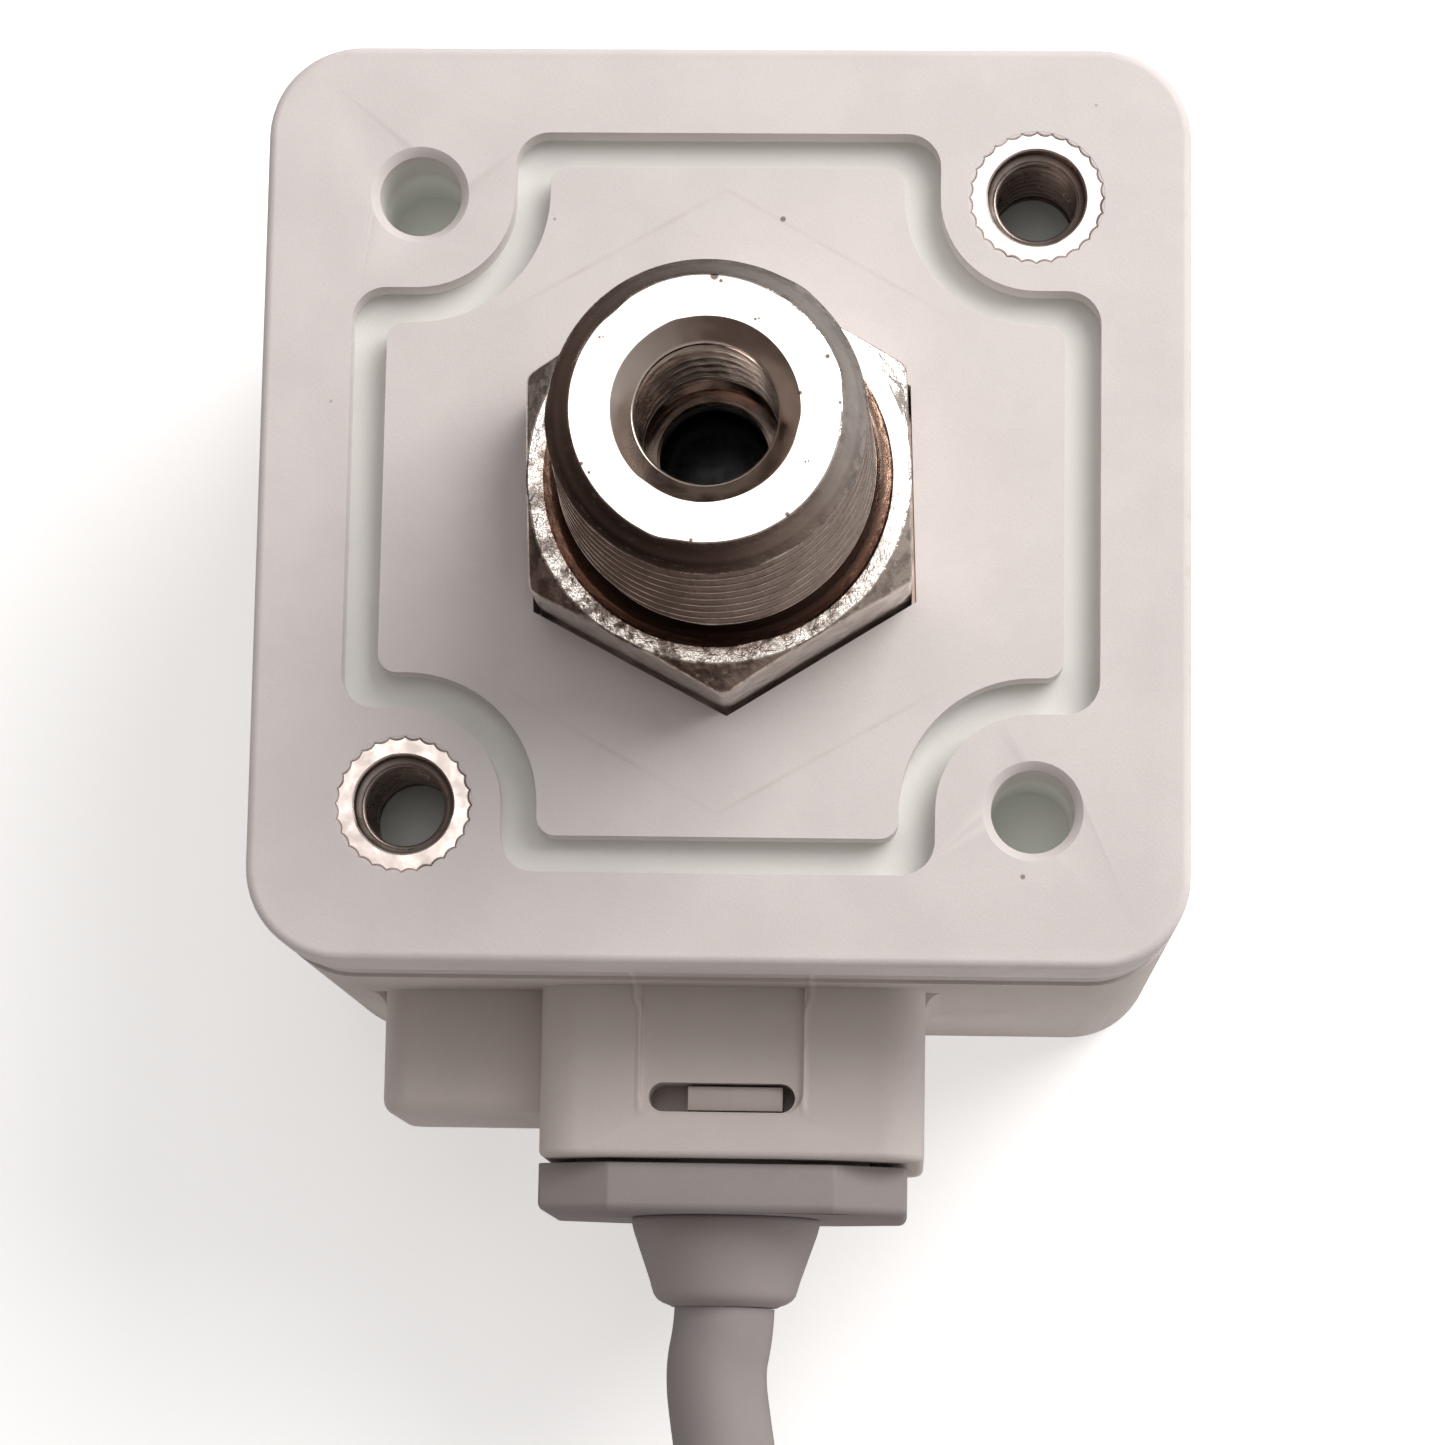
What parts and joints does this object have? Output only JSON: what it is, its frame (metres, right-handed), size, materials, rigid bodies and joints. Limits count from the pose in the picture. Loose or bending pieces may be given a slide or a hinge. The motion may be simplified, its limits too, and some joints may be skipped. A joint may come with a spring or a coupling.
{
  "type": "digital pressure switch",
  "caption": "Square panel-type pressure sensor with a rear threaded port, moulded-in mounting inserts, display keys and a latched plug-in lead.",
  "frame": {"origin": "middle of the display face, on the plane that it rests on", "axes": "+Z out through the pressure port, -Y out of the socket along the lead, +X to the right seen from behind with the socket at the bottom"},
  "size_m": [0.0342, 0.1666, 0.0379],
  "materials": {
    "case_plastic": "fine moulded texture, satin",
    "cover_plastic": "fine moulded texture, satin",
    "nickel_plate": "bright nickel plating over brass, scratched, turned marks",
    "insert_brass": "machined, knurled edge",
    "black_rubber": "matt",
    "gasket_rubber": "matt",
    "sensor_gel": "glossy black potting gel",
    "sensor_can": "brushed",
    "plain_steel": "zinc plated",
    "contact_tin": "tin plate",
    "contact_gold": "gold flash over brass",
    "smoked_window": "glossy smoked acrylic",
    "display_glass": "glossy",
    "digit_ink": "printed segments, unlit",
    "backlight_white": "satin white",
    "board_green": "solder mask",
    "chip_black": "moulded epoxy",
    "capacitor_tan": "glazed ceramic",
    "key_rubber": "satin silicone",
    "lens_clear": "clear light pipe",
    "led_yellow": "phosphor",
    "carrier_ivory": "natural nylon",
    "plug_plastic": "moulded, satin",
    "latch_nylon": "moulded, satin",
    "boot_plastic": "soft overmould, satin",
    "cable_jacket": "extruded soft sheath",
    "tie_plastic": "flat strap",
    "core_brown": "extruded",
    "core_blue": "extruded",
    "core_black": "extruded",
    "core_white": "extruded"
  },
  "bodies": {
    "housing": {"front_case": "case_plastic", "rear_cover": "cover_plastic", "cover_gasket": "gasket_rubber", "port_fitting": "nickel_plate", "port_seal": "black_rubber", "sensor_capsule": "sensor_can", "sensor_gel": "sensor_gel", "capsule_seal": "black_rubber", "capsule_ring": "plain_steel", "sensor_leads": "contact_gold", "clamp_plate": "plain_steel", "clamp_screws": "plain_steel", "display_window": "smoked_window", "display_glass": "display_glass", "display_digits": "digit_ink", "display_backlight": "backlight_white", "display_board": "board_green", "sensor_board": "board_green", "board_standoffs": "plain_steel", "board_screws": "plain_steel", "board_header": "chip_black", "header_pins": "contact_gold", "microcontroller": "chip_black", "amplifier_chip": "chip_black", "output_transistors": "chip_black", "capacitors": "capacitor_tan", "switch_bodies": "chip_black", "switch_domes": "plain_steel", "led_lenses": "lens_clear", "indicator_leds": "led_yellow", "pin_carrier": "carrier_ivory", "socket_pins": "contact_tin", "insert_a": "insert_brass", "insert_b": "insert_brass"},
    "set_button": {"set_key": "key_rubber", "set_plunger": "carrier_ivory"},
    "up_button": {"up_key": "key_rubber", "up_plunger": "carrier_ivory"},
    "down_button": {"down_key": "key_rubber", "down_plunger": "carrier_ivory"},
    "plug": {"plug_body": "plug_plastic", "plug_contacts": "contact_tin", "cable_boot": "boot_plastic", "cable_tube": "cable_jacket", "cable_hank": "cable_jacket", "cable_ties": "tie_plastic", "core_brown": "core_brown", "core_blue": "core_blue", "core_black": "core_black", "core_white": "core_white", "tinned_ends": "contact_tin"},
    "latch": {"latch_lever": "latch_nylon"}
  },
  "joints": [
    {"name": "set_press", "type": "slide", "parent": "housing", "child": "set_button", "axis": [0, 0, 1], "range_m": [0, 0.0003], "stiffness_N_per_m": 4000, "springref_m": -0.0001},
    {"name": "up_press", "type": "slide", "parent": "housing", "child": "up_button", "axis": [0, 0, 1], "range_m": [0, 0.0003], "stiffness_N_per_m": 4000, "springref_m": -0.0001},
    {"name": "down_press", "type": "slide", "parent": "housing", "child": "down_button", "axis": [0, 0, 1], "range_m": [0, 0.0003], "stiffness_N_per_m": 4000, "springref_m": -0.0001},
    {"name": "plug_pull", "type": "slide", "parent": "housing", "child": "plug", "axis": [0, -1, 0], "range_m": [0, 0.008]},
    {"name": "latch_press", "type": "hinge", "parent": "plug", "child": "latch", "pos_m": [0, -0.01695, 0.015], "axis": [1, 0, 0], "range_deg": [0, 13], "stiffness_Nm_per_rad": 0.012}
  ]
}
